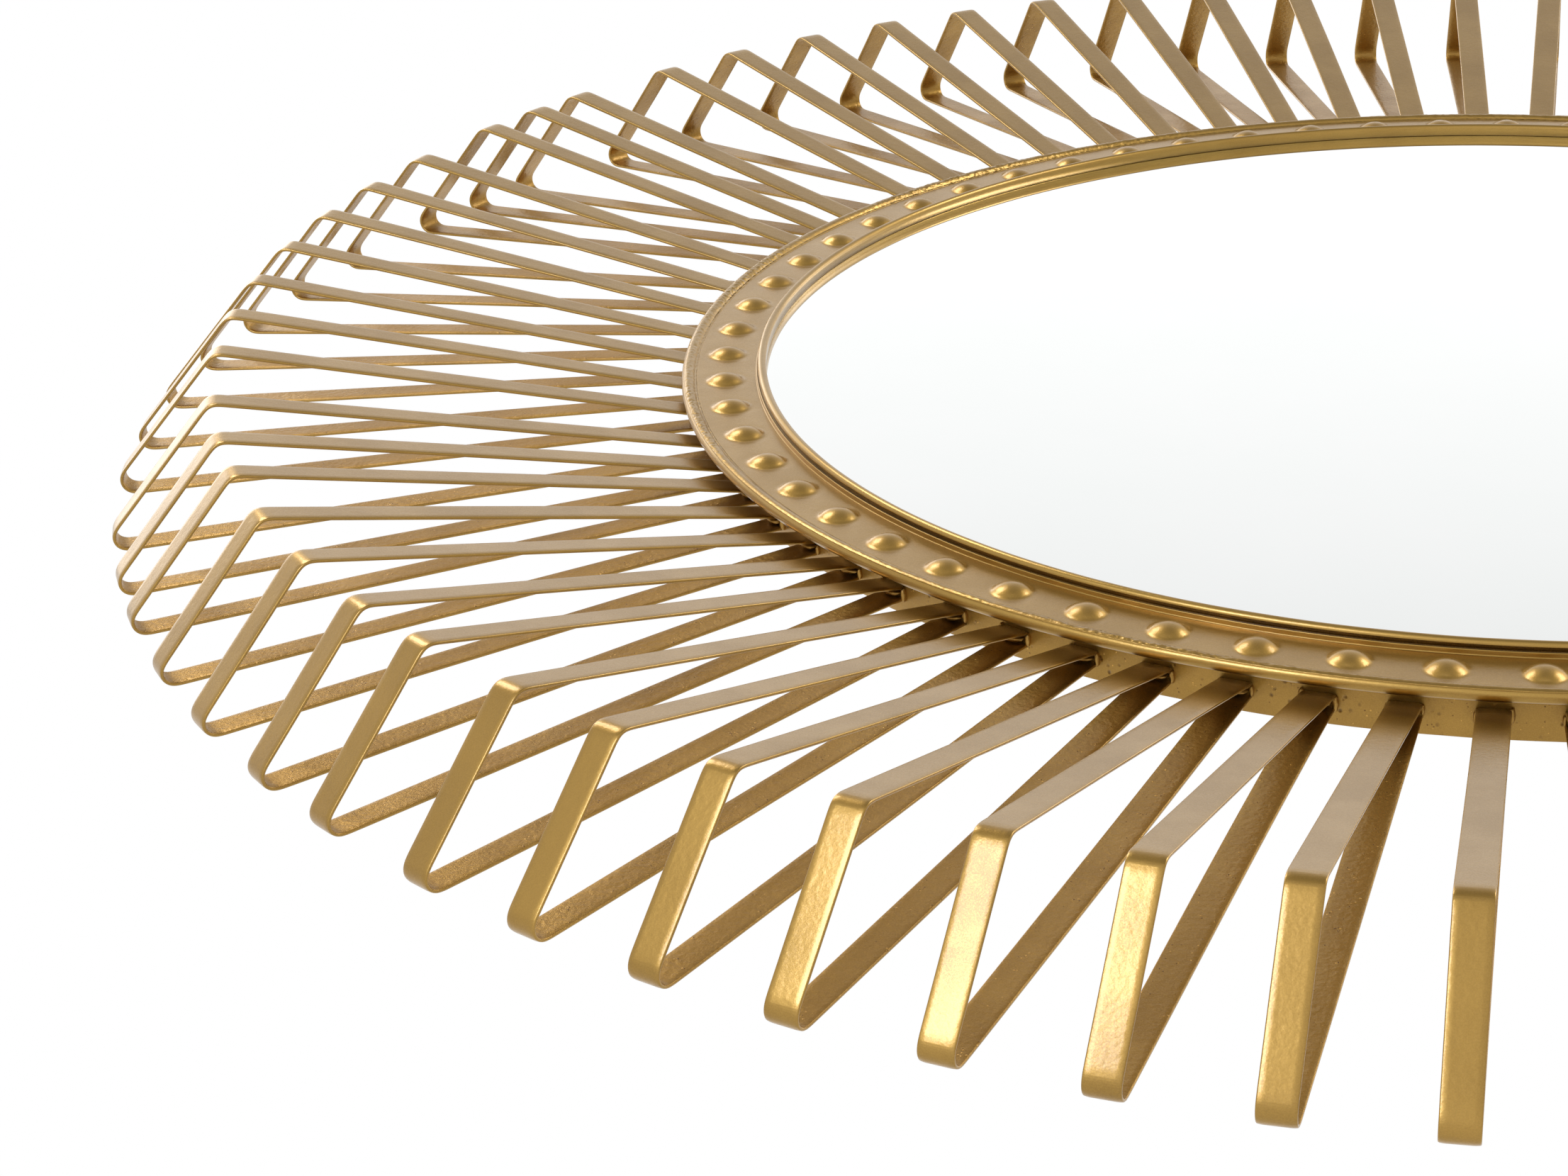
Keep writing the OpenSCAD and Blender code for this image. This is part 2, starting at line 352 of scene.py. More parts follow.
def spread(points, longest):
    """The same line with points added, so that no stretch is longer than asked."""
    out = []
    for a, b in zip(points[:-1], points[1:]):
        steps = max(1, math.ceil(np.linalg.norm(b - a) / longest))
        out += [a + (b - a) * k / steps for k in range(steps)]
    return np.array(out + [points[-1]])


def run_along(line):
    """The length along a line at each of its points."""
    return np.concatenate([[0], np.cumsum(np.linalg.norm(np.diff(line, axis=0), axis=1))])


def line_normals(line):
    """The slopes of a flat line turned by a quarter, which point to its right."""
    slope = np.gradient(line, axis=0)
    slope /= np.linalg.norm(slope, axis=1)[:, None]
    return np.stack([slope[:, 1], -slope[:, 0]], -1)


# ---------------------------------------------------------------- rays

STRIP_EDGE = 0.38 * MM   # the rounding of a strip's edges
FINE_STEP = 1 * MM       # the spacing of stations in a bend
STRAIGHT_STEPS = 6       # how many of those make one station where a ray is straight
EASING = 2.2 * MM        # how far a bend reaches into the straight parts
BOW, LIFT, TWIST = 0.5 * MM, 0.25 * MM, math.radians(1.2)


def flat_sides(node):
    """The faces of a CAD node's rays that look along the ring, each ray's in one list."""
    found = {}
    for face in cad[node].data.polygons:
        out = np.array(face.normal)
        tangent = np.cross([0, 1, 0], np.array(face.center) * [1, 0, 1])
        tangent /= np.linalg.norm(tangent)
        if out @ tangent > 0.99:
            same_way = next((known for known in found if np.array(known) @ out > 0.9995), tuple(out))
            found.setdefault(same_way, []).append((face, out))
    return found.values()


def side_outlines(node):
    """For each ray of a CAD node, the tangent of its flat side and that side's outline, in order."""
    merged = {}
    corners = np.array([v.co for v in cad[node].data.vertices])
    same = [merged.setdefault(tuple(np.round(p, 7)), len(merged)) for p in corners]
    spot = np.zeros((len(merged), 3))
    for index, p in zip(same, corners):
        spot[index] = p
    for side in flat_sides(node):
        edges = {}
        for face, _ in side:
            ring = [same[v] for v in face.vertices]
            edges.update(dict.fromkeys(zip(ring, ring[1:] + ring[:1])))
        after = {a: b for a, b in edges if (b, a) not in edges}
        start = next(iter(after))
        loop = [start]
        while after[loop[-1]] != start:
            loop.append(after[loop[-1]])
        yield side[0][1], spot[loop]


def ray_path(tangent, outline):
    """A ray's outward direction and, as radius and depth from the front root on, its middle line and outward
    normals, and its strip's thickness, all from its side's outline."""
    away = np.cross(tangent, [0, 1, 0])
    if away @ outline.mean(0) < 0:
        away = -away
    flat = np.stack([outline @ away, outline[:, 1]], -1)
    roots = np.argsort(flat[:, 0])[:4]
    first = roots[np.argmin(flat[roots, 1])]
    flat = np.roll(flat, -first, axis=0)
    if np.linalg.norm(flat[1] - flat[0]) < 5 * MM:
        flat = np.roll(flat[::-1], 1, axis=0)
    half = len(flat) // 2
    outer, inner = flat[:half], flat[half:][::-1]
    normal = outer - inner
    thick = np.linalg.norm(normal, axis=1).mean()
    normal /= np.linalg.norm(normal, axis=1)[:, None]
    return away, (outer + inner) / 2, normal, thick


def strip(middle, normal, width, thick, wobble, edge=STRIP_EDGE):
    """A bent flat bar: points and faces. middle and normal are its line in space, wobble turns it about that line,
    and width may vary along it."""
    along = np.gradient(middle, axis=0)
    along /= np.linalg.norm(along, axis=1)[:, None]
    across = np.cross(along, normal)
    across /= np.linalg.norm(across, axis=1)[:, None]
    width = np.broadcast_to(width, len(middle))
    widths = sorted(set(width))
    outline = np.array([bar_outline(w / 2, thick / 2, min(edge, w / 2.2)) for w in widths])
    outline = outline[np.searchsorted(widths, width)]
    turn = np.stack([np.cos(wobble), np.sin(wobble)], -1)[:, :, None]
    side = across * turn[:, 0] + normal * turn[:, 1]
    up = normal * turn[:, 0] - across * turn[:, 1]
    points = middle[:, None] + outline[:, :, :1] * side[:, None] + outline[:, :, 1:] * up[:, None]
    count = points.shape[1]
    faces = grid_faces(len(middle), count, closed_columns=True)
    last = (len(middle) - 1) * count
    faces += [list(range(count)), list(range(last, last + count))]
    return points.reshape(-1, 3), faces


def natural(run, size):
    """A gentle wave along a bar, of three random parts. It fades out at both ends, where the bar is held."""
    parts = draws.uniform(-1, 1, 3) * size
    phase = draws.uniform(0, 2 * math.pi, 3)
    waves = (parts[n] / (n + 1) * np.sin((n + 1) * math.pi * run / run[-1] + phase[n]) for n in range(3))
    return sum(waves) * np.sin(np.pi * np.clip(run / run[-1], 0, 1)) ** 0.5


def eased(line, normal):
    """A bar that was bent by hand curves in slowly: the line softened, with close stations kept at its bends."""
    fine = spread(np.concatenate([line, normal], axis=1), FINE_STEP)
    run = run_along(fine[:, :2])
    reach = np.minimum(EASING, np.minimum(run, run[-1] - run) / 2)
    steps = np.linspace(-2, 2, 9)
    weights = np.exp(-steps ** 2)
    soft = sum(weight * np.stack([np.interp(run + step * reach, run, part) for part in fine.T], -1)
               for step, weight in zip(steps, weights)) / weights.sum()
    soft[:, 2:] /= np.linalg.norm(soft[:, 2:], axis=1)[:, None]
    turn = np.linalg.norm(np.gradient(soft[:, 2:], axis=0), axis=1)
    keep = (turn > 0.004) | (np.arange(len(soft)) % STRAIGHT_STEPS == 0)
    keep[[0, -1]] = True
    return soft[keep, :2], soft[keep, 2:]


def make_rays(skin, inside):
    """Each ray is one strip, bent twice. It keeps its CAD line, with the slight waves of hand work."""
    depth = np.array([0, 1, 0])
    for node in sorted(n for n in cad if n.startswith("rays_")):
        strips, outs = [], []
        for tangent, outline in side_outlines(node):
            away, line, normal, thick = ray_path(tangent, outline)
            width = 2 * abs((outline @ tangent).mean())
            line, normal = eased(line, normal)
            run = run_along(line)
            bow, twist, lift = natural(run, BOW), natural(run, TWIST), natural(run, LIFT)
            line = line + normal * lift[:, None]
            middle = line[:, :1] * away + line[:, 1:] * depth + bow[:, None] * tangent
            out = normal[:, :1] * away + normal[:, 1:] * depth
            strips.append(strip(middle, out, width, thick, twist))
            outs.append(out)
        points, faces = join(strips)
        piece = make_piece("ray" + node[4:], points, faces, [skin, inside], GOLD, stands_for=[node])
        paint_inside(piece, strips, outs)
        flat_shading(piece)


def paint_inside(piece, strips, outs):
    """The faces that look into a ray's loop take the second material: rougher and with less coat, as the spray
    reached them less well, and a lighter tone that is painted light against their shade.
    """
    begin = 0
    for (points, faces), out in zip(strips, outs):
        around = (len(faces) - 2) // (len(out) - 1)
        for n in range(len(faces) - 2):
            face = piece.data.polygons[begin + n]
            if Vector(out[n // around]).dot(face.normal) < -0.5:
                face.material_index = 1
        begin += len(faces)


# ---------------------------------------------------------------- the domed ring, lip, rim and band

DOME_COUNT = 64
DOME_RADIUS = 6 * MM


def inner_radius(node):
    """The smallest distance from the mirror's axis to a CAD node."""
    return min(np.hypot(v.co.x, v.co.z) for v in cad[node].data.vertices)


def dome_centres():
    """The radius that the domes stand on, the first one's direction and the angle between two, from the CAD ring."""
    ring = np.array([v.co for v in cad["face_ring"].data.vertices])
    tops = ring[ring[:, 1] < ring[:, 1].min() + 0.02 * MM]
    turn = np.degrees(np.arctan2(tops[:, 2], tops[:, 0]))
    first = np.angle(np.exp(1j * np.radians(turn * DOME_COUNT)).mean(), deg=True) / DOME_COUNT
    return np.hypot(tops[:, 0], tops[:, 2]).mean(), math.radians(first), math.radians(360 / DOME_COUNT)


def dome_height(distance, radius, height):
    """The pressed shape: a round cap, a small fillet, and the sheet drawn down a little around it."""
    ball = (radius ** 2 + height ** 2) / (2 * height)
    cap = np.sqrt(np.maximum(ball ** 2 - distance ** 2, 0)) - (ball - height)
    start = 0.95 * radius
    rise = math.sqrt(ball ** 2 - start ** 2) - (ball - height)
    slope = start / math.sqrt(ball ** 2 - start ** 2)
    reach = 2 * rise / slope
    fillet = slope / (2 * reach) * np.maximum(start + reach - distance, 0) ** 2
    sunk = 0.05 * MM * np.exp(-((distance - radius * 1.2) / (0.2 * radius)) ** 2)
    return np.where(distance < start, cap, fillet) - sunk


def turned(turn, rows, depth):
    """Points at each angle of turn, along rows of a radius and a depth."""
    depth = depth * np.ones((len(turn), len(rows)))
    return np.stack([np.outer(np.cos(turn), rows), depth, np.outer(np.sin(turn), rows)], -1)


def make_face_ring(skin):
    """The flat ring with its pressed domes. Columns of points crowd together at the domes."""
    low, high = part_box("face_ring")
    outer, inner = (high.x - low.x) / 2, inner_radius("face_ring")
    front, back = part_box("mirror_glass")[0].y, high.y
    rise = front - low.y
    pitch_radius, first, pitch = dome_centres()
    across = (DOME_RADIUS + 2.2 * MM) / pitch_radius
    columns = np.concatenate([np.linspace(-across, across, 29), np.linspace(across, pitch - across, 5)[1:-1]])
    turn = (first + np.arange(DOME_COUNT)[:, None] * pitch + columns).ravel()
    nearest = np.round((turn - first) / pitch) * pitch + first

    def from_dome(rows):
        return np.hypot(
            np.outer(np.cos(turn), rows) - (pitch_radius * np.cos(nearest))[:, None],
            np.outer(np.sin(turn), rows) - (pitch_radius * np.sin(nearest))[:, None],
        )

    def wall(side):
        return turned(turn, [p[0] for p in side], np.array([p[1] for p in side]) + front)

    edge = 0.5 * MM
    rows = np.linspace(inner + edge, outer - edge, 30)
    height = dome_height(from_dome(rows), DOME_RADIUS, rise)
    x, z = np.outer(np.cos(turn), rows), np.outer(np.sin(turn), rows)
    wave = ripple(np.stack([x.ravel(), z.ravel(), 0 * x.ravel()], -1), 24, 3.0).reshape(x.shape) * 0.06 * MM
    face = turned(turn, rows, front - height + wave)
    under_rows = np.linspace(inner, outer, 9)
    hollow = dome_height(from_dome(under_rows), DOME_RADIUS - 0.8 * MM, rise - 0.4 * MM)
    under = turned(turn, under_rows, back - np.maximum(hollow, 0))
    round_in = wall(arc((inner + edge, edge), edge, 270, 180, 3)[1:])
    round_out = wall(arc((outer - edge, edge), edge, 270, 360, 3)[1:])
    around = np.concatenate([face, round_out, under[:, ::-1], round_in[:, ::-1]], axis=1)
    faces = grid_faces(len(turn), around.shape[1], closed_rows=True, closed_columns=True)
    make_piece("domed_ring", around.reshape(-1, 3), faces, [skin], GOLD, stands_for=["face_ring"])


def worn_hoop(name, node, profile, count, skins, waves, size, seed, dark=()):
    """A hoop from a profile, with the slight waves that bending and welding leave in it.
    The sides of the profile that are listed in dark take the second material, which the lip uses for painted shade
    in its groove."""
    points = hoop_points(profile, count)
    away = points - hoop_points([np.array(profile).mean(0)], count).repeat(len(profile), axis=0)
    away /= np.linalg.norm(away, axis=1)[:, None]
    points = points + away * (ripple(points, waves, seed) * size)[:, None]
    faces = grid_faces(count, len(profile), closed_rows=True, closed_columns=True)
    piece = make_piece(name, points, faces, skins, GOLD, stands_for=[node])
    for n, face in enumerate(piece.data.polygons):
        if n % len(profile) in dark:
            face.material_index = 1


def make_lip(skin, shade):
    """A wire on a low wall, with a groove between them whose dark colour is painted shade, and a fillet where the
    wall meets the ring.
    """
    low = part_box("lip_hoop")[0]
    inner = inner_radius("lip_hoop")
    outer = max(np.hypot(v.co.x, v.co.z) for v in cad["lip_hoop"].data.vertices)
    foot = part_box("mirror_glass")[0].y - 0.02 * MM
    wire = (outer - inner) * 0.44
    middle = (inner + wire, low.y + wire)
    shoulder = foot - (foot - low.y) * 0.38
    profile = arc(middle, wire, 180, 392, 26)
    # the groove's sides take the second material: painted shade
    dark = range(len(profile) - 6, len(profile) + 1)
    groove = arc(middle, wire, 402, 402, 1)[0]
    profile += [
        groove,
        (groove[0] + 0.05 * MM, shoulder + 0.3 * MM),
        (outer - 0.4 * MM, shoulder + 0.02 * MM),
    ]
    profile += arc((outer - 0.25 * MM, shoulder + 0.25 * MM), 0.25 * MM, 280, 360, 3)
    profile += [(outer, foot - 0.5 * MM)]
    profile += arc((outer + 0.3 * MM, foot - 0.3 * MM), 0.3 * MM, 165, 95, 3)
    profile += [(outer - 0.6 * MM, foot), (inner + 0.5 * MM, foot), (inner + 0.15 * MM, foot - 0.15 * MM)]
    worn_hoop("lip", "lip_hoop", profile, 960, [skin, shade], 55, 0.04 * MM, 11.0, dark)


def rim_section():
    """The centre of the rim's rod, as radius and depth, and the rod's radius."""
    low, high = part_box("rim_hoop")
    half = (high.y - low.y) / 2
    return ((high.x - low.x) / 2 - half, low.y + half), half


def make_rim(skin):
    centre, half = rim_section()
    worn_hoop("rim", "rim_hoop", arc(centre, half, 0, 345, 23), 1080, [skin], 70, 0.07 * MM, 21.0)


SEAM_STATIONS = 3000
ROUGHEST, ROUGH_REACH = -2.0, 0.35   # where the weld was left roughest, as an angle round the mirror


def make_seam(skin):
    """The ground weld over the rim: grainy where the grinder left it, smooth between, with a sharp outer edge."""
    centre, half = rim_section()
    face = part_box("mirror_glass")[0].y
    foot = centre[0] - half - 0.75 * MM
    turns = np.linspace(205, 308, 17)
    crust = np.interp(turns, [205, 222, 290, 308], [0.30, 0.24, 0.14, 0.10]) * MM
    line = [(foot, face - 0.03 * MM), (centre[0] - half - 0.3 * MM, face - 0.1 * MM)]
    line += [arc(centre, half + over, t, t, 0)[0] for t, over in zip(turns, crust)]
    line = [p for p in line if p[1] < face - 0.02 * MM]
    under = [arc(centre, half - 0.15 * MM, t, t, 0)[0] for t in (308, 280, 250, 225)]
    profile = line + under + [(foot, face + 0.1 * MM)]
    points = hoop_points(profile, SEAM_STATIONS)
    share = np.clip(np.linspace(0, 1, len(line)) * 0.9 + 0.08, 0, 1)
    weight = np.concatenate([np.sin(np.pi * share) ** 0.5, np.zeros(len(under) + 1)])
    away = points - hoop_points([centre], SEAM_STATIONS).repeat(len(profile), axis=0)
    away /= np.linalg.norm(away, axis=1)[:, None]
    from_roughest = np.arctan2(points[:, 2], points[:, 0]) - ROUGHEST
    left_rough = 0.5 * np.exp(-(from_roughest / ROUGH_REACH) ** 2)
    rough = np.clip(ripple(points * [1, 0, 1], 13, 5.0) * 2.4 + 0.45 + left_rough, 0.1, 1.2)
    grain = ripple(points, 900, 7.0) + 0.7 * ripple(points, 1900, 9.0)
    swell = ripple(points, 210, 13.0)
    lumps = (grain * 0.20 + swell * 0.13) * MM
    points += away * (np.tile(weight, SEAM_STATIONS) * rough * lumps)[:, None]
    faces = grid_faces(SEAM_STATIONS, len(profile), closed_rows=True, closed_columns=True)
    make_piece("rim_weld", points, faces, [skin], GOLD, stands_for=["rim_weld_seam"])


def make_band(skin):
    """The upright band, a flat bar on edge with rounded corners."""
    low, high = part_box("hub_band")
    edge = 0.5 * MM
    outside, inside = (high.x - low.x) / 2, inner_radius("hub_band")
    profile = []
    for r, y, start in ((outside - edge, high.y - edge, 0), (inside + edge, high.y - edge, 90),
                        (inside + edge, low.y + edge, 180), (outside - edge, low.y + edge, 270)):
        profile += arc((r, y), edge, start, start + 90, 3)
    profile += [(outside, y) for y in np.linspace(low.y + edge, high.y - edge, 6)[1:-1]]
    worn_hoop("band", "hub_band", profile, 900, [skin], 90, 0.08 * MM, 31.0)


# ---------------------------------------------------------------- weld metal

def blob(centre, right, up, out, size, seed):
    """A lump of weld metal: a ball squeezed to a size along three directions, with a rough skin."""
    kit = bmesh.new()
    bmesh.ops.create_icosphere(kit, subdivisions=3, radius=1)
    ball = np.array([v.co for v in kit.verts])
    faces = [[v.index for v in f.verts] for f in kit.faces]
    kit.free()
    rough = 1 + 0.16 * ripple(ball, 1.6, seed) + 0.07 * ripple(ball, 4.5, seed + 3)
    ball = ball * rough[:, None]
    points = centre + ball[:, :1] * size[0] * right + ball[:, 1:2] * size[1] * up + ball[:, 2:] * size[2] * out
    return points, faces


def join(parts):
    """Several pairs of points and faces as one."""
    points, faces, count = [], [], 0
    for p, f in parts:
        faces += [[count + v for v in q] for q in f]
        points.append(p)
        count += len(p)
    return np.concatenate(points), faces


def ray_welds(tangent, outline):
    """The weld in the notch between a ray's two roots, and the two up the sides of the roots."""
    depth = np.array([0, 1, 0])
    away, line, normal, thick = ray_path(tangent, outline)
    width = 2 * abs((outline @ tangent).mean())
    foot = line[0, 0]
    middle = (line[0, 1] + line[-1, 1]) / 2
    gap = abs(line[-1, 1] - line[0, 1]) - thick
    seed = draws.uniform(0, 90)
    notch = away * (foot + 0.6 * MM) + depth * middle
    yield blob(notch, tangent, depth, away, (width * 0.40, gap * 0.50, 2.6 * MM), seed)
    for side in (-1, 1):
        size = draws.uniform(0.55, 1.0)
        shift = draws.uniform(-0.8, 0.8) * MM
        corner = away * (foot + 0.1 * MM) + tangent * side * (width / 2 - 0.1 * MM) + depth * (middle + shift)
        reach = (1.0 * MM * size, 2.6 * MM * size, 1.2 * MM * size)
        yield blob(corner, tangent, depth, away, reach, seed + side)


def make_ray_welds(skin):
    parts = []
    for node in sorted(n for n in cad if n.startswith("rays_")):
        for tangent, outline in side_outlines(node):
            parts += ray_welds(tangent, outline)
    points, faces = join(parts)
    make_piece("weld_metal", points, faces, [skin], GOLD, stands_for=["ray_welds"])


# ---------------------------------------------------------------- glass, board and hardware

def disc_with_edge(radius, front, back, edge, count=256):
    """A disc as rings of points from the front's middle round to the back's middle."""
    profile = [(radius * t, front) for t in (0.25, 0.5, 0.75, 0.94)]
    profile += arc((radius - edge, front + edge), edge, 270, 360, 4)
    profile += arc((radius - edge, back - edge), edge, 0, 90, 4)
    profile += [(radius * t, back) for t in (0.94, 0.75, 0.5, 0.25)]
    points = hoop_points(profile, count)
    faces = grid_faces(count, len(profile), closed_rows=True)
    points = np.concatenate([points, [[0, front, 0], [0, back, 0]]])
    last = count * len(profile)
    for i in range(count):
        j = (i + 1) % count
        faces.append([i * len(profile), j * len(profile), last])
        faces.append([(i + 1) * len(profile) - 1, (j + 1) * len(profile) - 1, last + 1])
    return points, faces


def make_glass(face, edge):
    """The mirror: a silvered face, and the green of the glass at its edge and behind."""
    low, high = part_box("mirror_glass")
    radius = (high.x - low.x) / 2
    points, faces = disc_with_edge(radius, low.y, high.y, 0.5 * MM)
    piece = make_piece("mirror", points, faces, [face, edge], GLASS, stands_for=["mirror_glass"])
    for polygon in piece.data.polygons:
        polygon.material_index = 0 if polygon.normal.y < -0.98 else 1
    flat_shading(piece)


def make_board(skin):
    low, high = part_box("backing_board")
    radius = (high.x - low.x) / 2
    points, faces = disc_with_edge(radius, low.y, high.y, 0.7 * MM)
    piece = make_piece("backing", points, faces, [skin], BOARD, stands_for=["backing_board"])
    flat_shading(piece)


def clusters(node, reach):
    """The lowest and highest corner of each separate solid of a CAD node, told apart by how close its points are."""
    groups = []
    for p in (np.array(v.co) for v in cad[node].data.vertices):
        for group in groups:
            if np.linalg.norm((p - group[0])[[0, 2]]) < reach:
                group.append(p)
                break
        else:
            groups.append([p])
    return [(np.min(g, axis=0), np.max(g, axis=0)) for g in groups]


SHEET = 1.2 * MM   # the steel of the tabs and straps
TAB_COUNT = 8
TAB_WIDTH, TAB_LENGTH, TAB_BEND, TAB_CORNER = 14 * MM, 17 * MM, 1.6 * MM, 2.5 * MM


def make_tabs(skin):
    """Bent steel tabs with rounded bends, tacked to the inside of the band."""
    parts = []
    for low, high in clusters("retaining_tabs", 0.03):
        x, y, z = (low + high) / 2
        half_turns = round((math.atan2(z, x) / math.pi * TAB_COUNT - 1) / 2) * 2 + 1
        turn = half_turns * math.pi / TAB_COUNT
        parts += tab(np.array([math.cos(turn), 0, math.sin(turn)]), low[1], high[1])
    points, faces = join(parts)
    piece = make_piece("board_tabs", points, faces, [skin], GOLD, stands_for=["retaining_tabs"])
    flat_shading(piece)


def tab(away, front, back):
    """One tab, which lies on the board and turns up along the band, with a tack weld at each side."""
    depth = np.array([0, 1, 0])
    tangent = np.cross(depth, away)
    band = inner_radius("hub_band")
    wall, sheet = band - 0.4 * MM - SHEET / 2, front + SHEET / 2
    line = [(band - TAB_LENGTH + SHEET / 2, sheet)]
    line += arc((wall - TAB_BEND, sheet + TAB_BEND), TAB_BEND, 270, 360, 6)
    line += [(wall, back - SHEET / 2)]
    line = spread(np.array(line), 2.5 * MM)
    normal = line_normals(line)
    to_corner = 1 - np.clip(run_along(line) / TAB_CORNER, 0, 1)
    widths = TAB_WIDTH - 2 * TAB_CORNER * (1 - np.sqrt(np.clip(1 - to_corner ** 2, 0, 1)))
    middle = line[:, :1] * away + line[:, 1:] * depth
    out = normal[:, :1] * away + normal[:, 1:] * depth
    parts = [strip(middle, out, widths, SHEET, np.zeros(len(line)))]
    for side in (-1, 1):
        spot = away * (band - 0.5 * MM) + tangent * side * 4.5 * MM + depth * (back - 0.2 * MM)
        parts.append(blob(spot, tangent, depth, away, (2.1 * MM, 1.1 * MM, 1.0 * MM), draws.uniform(0, 90)))
    return parts


HEAD_HEIGHT = 1.6 * MM
RECESS_ARM, RECESS_REACH, RECESS_DEPTH = 0.42 * MM, 1.75 * MM, 1.05 * MM


def screw_head(centre, front, radius):
    """A pan head with a cross recess, as rings of points from its rim to the bottom of the recess."""
    rings, count = 22, 64
    turn = np.arange(count) * 2 * math.pi / count
    spin = draws.uniform(0, math.pi / 2)
    points = [np.stack([centre[0] + r * np.cos(turn), front + lift, centre[2] + r * np.sin(turn)], -1)
              for r, lift in head_rings(radius, rings, turn - spin)]
    faces = grid_faces(rings, count, closed_columns=True)
    hub = (rings - 1) * count
    faces.append([hub + i for i in range(count)][::-1])
    faces.append(list(range(count)))
    return np.concatenate(points), faces


def head_rings(radius, rings, turn):
    """Each ring of a screw's head: its radius, and its height at each angle of turn."""
    yield radius * 0.98, 0 * turn - recess(radius * 0.98, turn)
    for k in range(rings - 1):
        r = radius * (1 - k / (rings - 1))
        yield r, HEAD_HEIGHT * (1 - (r / radius) ** 3.2 * 0.62) - recess(r, turn)


def recess(r, turn):
    """How deep the cross recess is at a radius, for each angle of turn."""
    a, b = np.abs(r * np.cos(turn)), np.abs(r * np.sin(turn))
    inside = np.minimum(np.maximum(a, b) / RECESS_REACH, 9)
    cut = np.clip((RECESS_ARM - np.minimum(a, b)) / (0.16 * MM) + 0.5, 0, 1) * np.clip((1 - inside) / 0.12, 0, 1)
    return cut * RECESS_DEPTH * (1 - 0.35 * np.clip(inside, 0, 1))


def make_screws(name, node, skin):
    """The heads of a CAD node's screws."""
    parts = []
    for low, high in clusters(node, 0.008):
        parts.append(screw_head((low + high) / 2, high[1] - HEAD_HEIGHT, (high[0] - low[0]) / 2))
    points, faces = join(parts)
    make_piece(name, points, faces, [skin], ZINC, stands_for=[node])


def make_strap(side, skin):
    """A steel strap that curls round the ring's pin, with a round lower end."""
    low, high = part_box(side + "_hanger_strap")
    ring_low, ring_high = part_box(side + "_hanger_ring")
    width = high.x - low.x
    loop = 2.2 * MM
    pin_height, pin_depth = high.z - loop - SHEET / 2, (ring_low.y + ring_high.y) / 2
    plate = low.y + SHEET / 2
    line = [(low.z, plate), (pin_height, plate)]
    line += [(pin_height + loop * math.sin(a), pin_depth - loop * math.cos(a))
             for a in np.radians(np.arange(12, 300, 12))]
    line = spread(np.array(line), 1.2 * MM)
    normal = line_normals(line)
    to_end = 1 - np.clip(run_along(line) / (width / 2), 0, 1)
    widths = np.maximum(width * np.sqrt(np.clip(1 - to_end ** 2, 0, 1)), 1.5 * MM)
    middle = np.stack([np.full(len(line), (low.x + high.x) / 2), line[:, 1], line[:, 0]], -1)
    out = np.stack([np.zeros(len(line)), normal[:, 1], normal[:, 0]], -1)
    points, faces = strip(middle, out, widths, SHEET, np.zeros(len(line)), 0.3 * MM)
    piece = make_piece(side + "_strap", points, faces, [skin], ZINC, stands_for=[side + "_hanger_strap"])
    flat_shading(piece)


def make_ring(side, skin):
    """A wire D with round corners. Its ends meet in the middle of the straight side."""
    low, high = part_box(side + "_hanger_ring")
    wire = (high.y - low.y) / 2
    x, y = (low.x + high.x) / 2, (low.y + high.y) / 2
    bow = (high.x - low.x) / 2 - wire
    base = high.z - bow - wire
    corner = 2.6 * MM
    line = [(t, 0) for t in np.linspace(0.12 * MM, bow - corner, 6)]
    line += arc((bow - corner, corner), corner, 270, 360, 6)[1:]
    line += arc((0, 0), bow, 14, 166, 40)
    line += arc((corner - bow, corner), corner, 180, 270, 6)
    line += [(t, 0) for t in np.linspace(corner - bow, -0.12 * MM, 6)][1:]
    line = np.array(line)
    sides = 16
    turn = np.arange(sides) * 2 * math.pi / sides
    points = []
    for p, across in zip(line, -line_normals(line)):
        flat = p + np.outer(np.cos(turn) * wire, across)
        points.append(np.stack([x + flat[:, 0], y + np.sin(turn) * wire, base + flat[:, 1]], -1))
    faces = grid_faces(len(line), sides, closed_columns=True)
    last = (len(line) - 1) * sides
    faces += [list(range(sides)), list(range(last, last + sides))]
    body = side + "_ring"
    make_piece(side + "_d_ring", np.concatenate(points), faces, [skin], ZINC, body, [side + "_hanger_ring"])


# ---------------------------------------------------------------- the studio

def make_floor():
    """A pale floor, well below the hung mirror."""
    half, height = 30.0, -1.7
    mesh = bpy.data.meshes.new("floor")
    corners = [(-half, -half, height), (half, -half, height), (half, half, height), (-half, half, height)]
    mesh.from_pydata(corners, [], [(0, 1, 2, 3)])
    material, tree, shader, place = new_material("pale_floor")
    cloud = noise_at(tree, place, 0.6, 3)
    feed(tree, shader, "Base Color", mixed(tree, cloud, (0.74, 0.74, 0.73, 1), (0.80, 0.80, 0.79, 1)))
    shader.inputs["Roughness"].default_value = 0.7
    mesh.materials.append(material)
    floor = bpy.data.objects.new("floor", mesh)
    bpy.context.scene.collection.objects.link(floor)


def softbox(name, towards, distance, size, power, colour=(1, 1, 1)):
    """A square soft light at a direction from the mirror's middle. It isn't seen by the camera itself."""
    data = bpy.data.lights.new(name, "AREA")
    data.shape = "SQUARE"
    data.size = size
    data.energy = power
    data.color = colour
    light = bpy.data.objects.new(name, data)
    light.location = Vector(towards).normalized() * distance
    light.rotation_euler = Vector(towards).to_track_quat("Z", "Y").to_euler()
    light.visible_camera = False
    bpy.context.scene.collection.objects.link(light)


